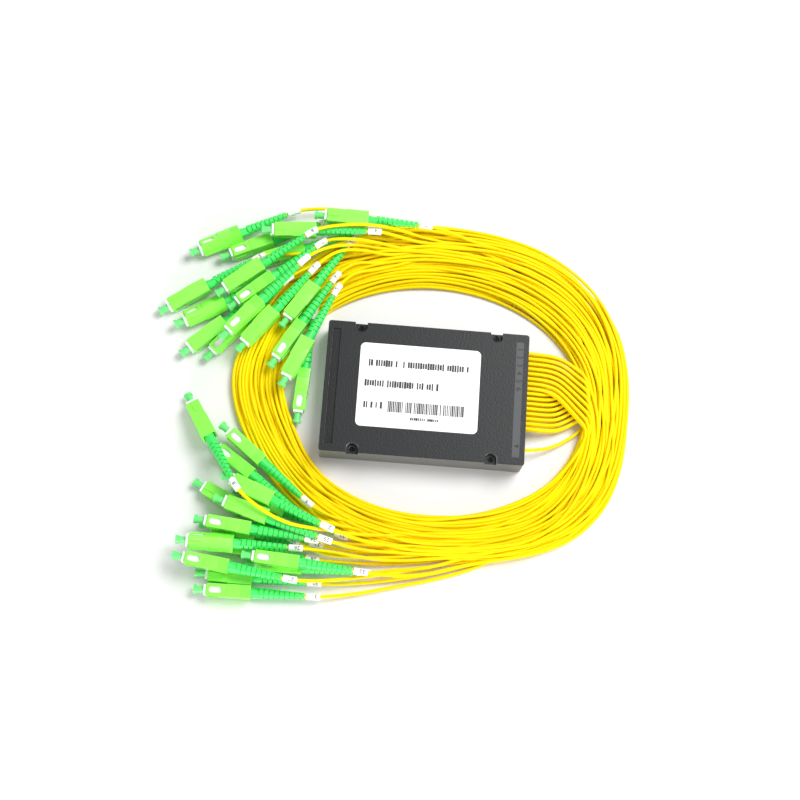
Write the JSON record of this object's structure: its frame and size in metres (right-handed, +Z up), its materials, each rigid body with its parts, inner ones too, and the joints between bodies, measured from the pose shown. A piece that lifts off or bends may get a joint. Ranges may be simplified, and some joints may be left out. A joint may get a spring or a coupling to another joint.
{
  "type": "optical fibre splitter",
  "caption": "Flat rectangular splitter box with a coil of thin round leads leaving one short side, each ending in a square push-pull fibre connector with a dust cap.",
  "frame": {"origin": "middle of the box's underside", "axes": "+X along the box to the short side where the leads leave, +Y to the long side away from the front, +Z up out of the label"},
  "size_m": [0.2875, 0.2447, 0.0255],
  "materials": {
    "box_plastic": "fine matt dark grey",
    "black_screw": "black, satin",
    "label_film": "matt pale film",
    "strip_plastic": "matt light grey",
    "comb_rubber": "matt black",
    "package_steel": "satin",
    "ribbon_coating": "gloss, clear coating",
    "tube_white": "satin white",
    "housing_white": "satin white",
    "ferrule_ceramic": "polished white ceramic, given as plastic",
    "spring_steel": "bright",
    "crimp_metal": "bright",
    "boot_green": "satin mint green, flexible",
    "cap_green": "pale green, slightly clear",
    "jacket_yellow": "satin yellow",
    "sleeve_white": "satin white",
    "grip_green": "satin apple green"
  },
  "bodies": {
    "box": {"base_tray": "box_plastic", "top_cover": "box_plastic", "cover_screws": "black_screw", "face_label": "label_film", "port_number_strip": "strip_plastic", "lead_comb": "comb_rubber", "package_pad": "comb_rubber", "splitter_package": "package_steel", "package_boots": "comb_rubber", "output_ribbons": "ribbon_coating", "fanout_block": "comb_rubber", "output_fibres": "tube_white", "input_fibre": "tube_white", "inner_housings": "housing_white", "ferrules": "ferrule_ceramic", "ferrule_springs": "spring_steel", "crimp_sleeves": "crimp_metal", "strain_boots": "boot_green", "ferrule_caps": "cap_green", "jacket_ends": "jacket_yellow", "number_sleeves": "sleeve_white", "exit_leads_over": "jacket_yellow", "exit_leads_under": "jacket_yellow", "exit_lead_input": "jacket_yellow", "tail_leads_upper": "jacket_yellow", "tail_leads_lower": "jacket_yellow", "fibre_coil": "jacket_yellow"},
    "grip_01": {"grip_01": "grip_green"},
    "grip_02": {"grip_02": "grip_green"},
    "grip_03": {"grip_03": "grip_green"},
    "grip_04": {"grip_04": "grip_green"},
    "grip_05": {"grip_05": "grip_green"},
    "grip_06": {"grip_06": "grip_green"},
    "grip_07": {"grip_07": "grip_green"},
    "grip_08": {"grip_08": "grip_green"},
    "grip_09": {"grip_09": "grip_green"},
    "grip_10": {"grip_10": "grip_green"},
    "grip_11": {"grip_11": "grip_green"},
    "grip_12": {"grip_12": "grip_green"},
    "grip_13": {"grip_13": "grip_green"},
    "grip_14": {"grip_14": "grip_green"},
    "grip_15": {"grip_15": "grip_green"},
    "grip_16": {"grip_16": "grip_green"},
    "grip_17": {"grip_17": "grip_green"},
    "grip_18": {"grip_18": "grip_green"},
    "grip_19": {"grip_19": "grip_green"},
    "grip_20": {"grip_20": "grip_green"},
    "grip_21": {"grip_21": "grip_green"},
    "grip_22": {"grip_22": "grip_green"},
    "grip_23": {"grip_23": "grip_green"},
    "grip_24": {"grip_24": "grip_green"},
    "grip_25": {"grip_25": "grip_green"},
    "grip_26": {"grip_26": "grip_green"},
    "grip_27": {"grip_27": "grip_green"},
    "grip_28": {"grip_28": "grip_green"},
    "grip_29": {"grip_29": "grip_green"},
    "grip_30": {"grip_30": "grip_green"},
    "grip_31": {"grip_31": "grip_green"},
    "grip_32": {"grip_32": "grip_green"},
    "grip_33": {"grip_33": "grip_green"}
  },
  "joints": [
    {"name": "grip_01_slide", "type": "slide", "parent": "box", "child": "grip_01", "axis": [0.8828, 0.4694, 0.0175], "range_m": [0, 0.0018]},
    {"name": "grip_02_slide", "type": "slide", "parent": "box", "child": "grip_02", "axis": [0.9062, 0.4226, 0.0175], "range_m": [0, 0.0018]},
    {"name": "grip_03_slide", "type": "slide", "parent": "box", "child": "grip_03", "axis": [0.9323, 0.3579, 0.0523], "range_m": [0, 0.0018]},
    {"name": "grip_04_slide", "type": "slide", "parent": "box", "child": "grip_04", "axis": [0.9976, 0.0698, 0], "range_m": [0, 0.0018]},
    {"name": "grip_05_slide", "type": "slide", "parent": "box", "child": "grip_05", "axis": [0.8324, 0.5406, 0.1219], "range_m": [0, 0.0018]},
    {"name": "grip_06_slide", "type": "slide", "parent": "box", "child": "grip_06", "axis": [0.857, 0.515, 0.0175], "range_m": [0, 0.0018]},
    {"name": "grip_07_slide", "type": "slide", "parent": "box", "child": "grip_07", "axis": [0.7537, 0.6552, 0.0523], "range_m": [0, 0.0018]},
    {"name": "grip_08_slide", "type": "slide", "parent": "box", "child": "grip_08", "axis": [0.7837, 0.6123, 0.1045], "range_m": [0, 0.0018]},
    {"name": "grip_09_slide", "type": "slide", "parent": "box", "child": "grip_09", "axis": [0.7427, 0.6687, 0.0349], "range_m": [0, 0.0018]},
    {"name": "grip_10_slide", "type": "slide", "parent": "box", "child": "grip_10", "axis": [0.659, 0.7319, 0.1736], "range_m": [0, 0.0018]},
    {"name": "grip_11_slide", "type": "slide", "parent": "box", "child": "grip_11", "axis": [0.6545, 0.7529, 0.0698], "range_m": [0, 0.0018]},
    {"name": "grip_12_slide", "type": "slide", "parent": "box", "child": "grip_12", "axis": [0.601, 0.7975, 0.0523], "range_m": [0, 0.0018]},
    {"name": "grip_13_slide", "type": "slide", "parent": "box", "child": "grip_13", "axis": [0.5446, 0.8387, 0], "range_m": [0, 0.0018]},
    {"name": "grip_14_slide", "type": "slide", "parent": "box", "child": "grip_14", "axis": [0.5, 0.866, 0], "range_m": [0, 0.0018]},
    {"name": "grip_15_slide", "type": "slide", "parent": "box", "child": "grip_15", "axis": [0.4067, 0.9135, 0], "range_m": [0, 0.0018]},
    {"name": "grip_16_slide", "type": "slide", "parent": "box", "child": "grip_16", "axis": [0.0697, 0.997, 0.0349], "range_m": [0, 0.0018]},
    {"name": "grip_17_slide", "type": "slide", "parent": "box", "child": "grip_17", "axis": [0.9998, -0.0175, 0], "range_m": [0, 0.0018]},
    {"name": "grip_18_slide", "type": "slide", "parent": "box", "child": "grip_18", "axis": [0.5094, -0.8152, 0.2756], "range_m": [0, 0.0018]},
    {"name": "grip_19_slide", "type": "slide", "parent": "box", "child": "grip_19", "axis": [0.788, -0.6157, 0], "range_m": [0, 0.0018]},
    {"name": "grip_20_slide", "type": "slide", "parent": "box", "child": "grip_20", "axis": [0.8011, -0.5821, 0.1392], "range_m": [0, 0.0018]},
    {"name": "grip_21_slide", "type": "slide", "parent": "box", "child": "grip_21", "axis": [0.9183, -0.3898, 0.0698], "range_m": [0, 0.0018]},
    {"name": "grip_22_slide", "type": "slide", "parent": "box", "child": "grip_22", "axis": [0.9384, -0.3416, 0.0523], "range_m": [0, 0.0018]},
    {"name": "grip_23_slide", "type": "slide", "parent": "box", "child": "grip_23", "axis": [0.8876, -0.4523, 0.0872], "range_m": [0, 0.0018]},
    {"name": "grip_24_slide", "type": "slide", "parent": "box", "child": "grip_24", "axis": [0.9945, -0.1045, 0], "range_m": [0, 0.0018]},
    {"name": "grip_25_slide", "type": "slide", "parent": "box", "child": "grip_25", "axis": [0.9557, -0.2922, 0.0349], "range_m": [0, 0.0018]},
    {"name": "grip_26_slide", "type": "slide", "parent": "box", "child": "grip_26", "axis": [1, 0, 0], "range_m": [0, 0.0018]},
    {"name": "grip_27_slide", "type": "slide", "parent": "box", "child": "grip_27", "axis": [0.9889, -0.139, 0.0523], "range_m": [0, 0.0018]},
    {"name": "grip_28_slide", "type": "slide", "parent": "box", "child": "grip_28", "axis": [0.9952, -0.0958, 0.0175], "range_m": [0, 0.0018]},
    {"name": "grip_29_slide", "type": "slide", "parent": "box", "child": "grip_29", "axis": [1, 0, 0], "range_m": [0, 0.0018]},
    {"name": "grip_30_slide", "type": "slide", "parent": "box", "child": "grip_30", "axis": [0.9998, -0.0175, 0], "range_m": [0, 0.0018]},
    {"name": "grip_31_slide", "type": "slide", "parent": "box", "child": "grip_31", "axis": [1, 0.0087, 0], "range_m": [0, 0.0018]},
    {"name": "grip_32_slide", "type": "slide", "parent": "box", "child": "grip_32", "axis": [0.9976, -0.0698, 0], "range_m": [0, 0.0018]},
    {"name": "grip_33_slide", "type": "slide", "parent": "box", "child": "grip_33", "axis": [0.9945, -0.1045, 0], "range_m": [0, 0.0018]}
  ]
}
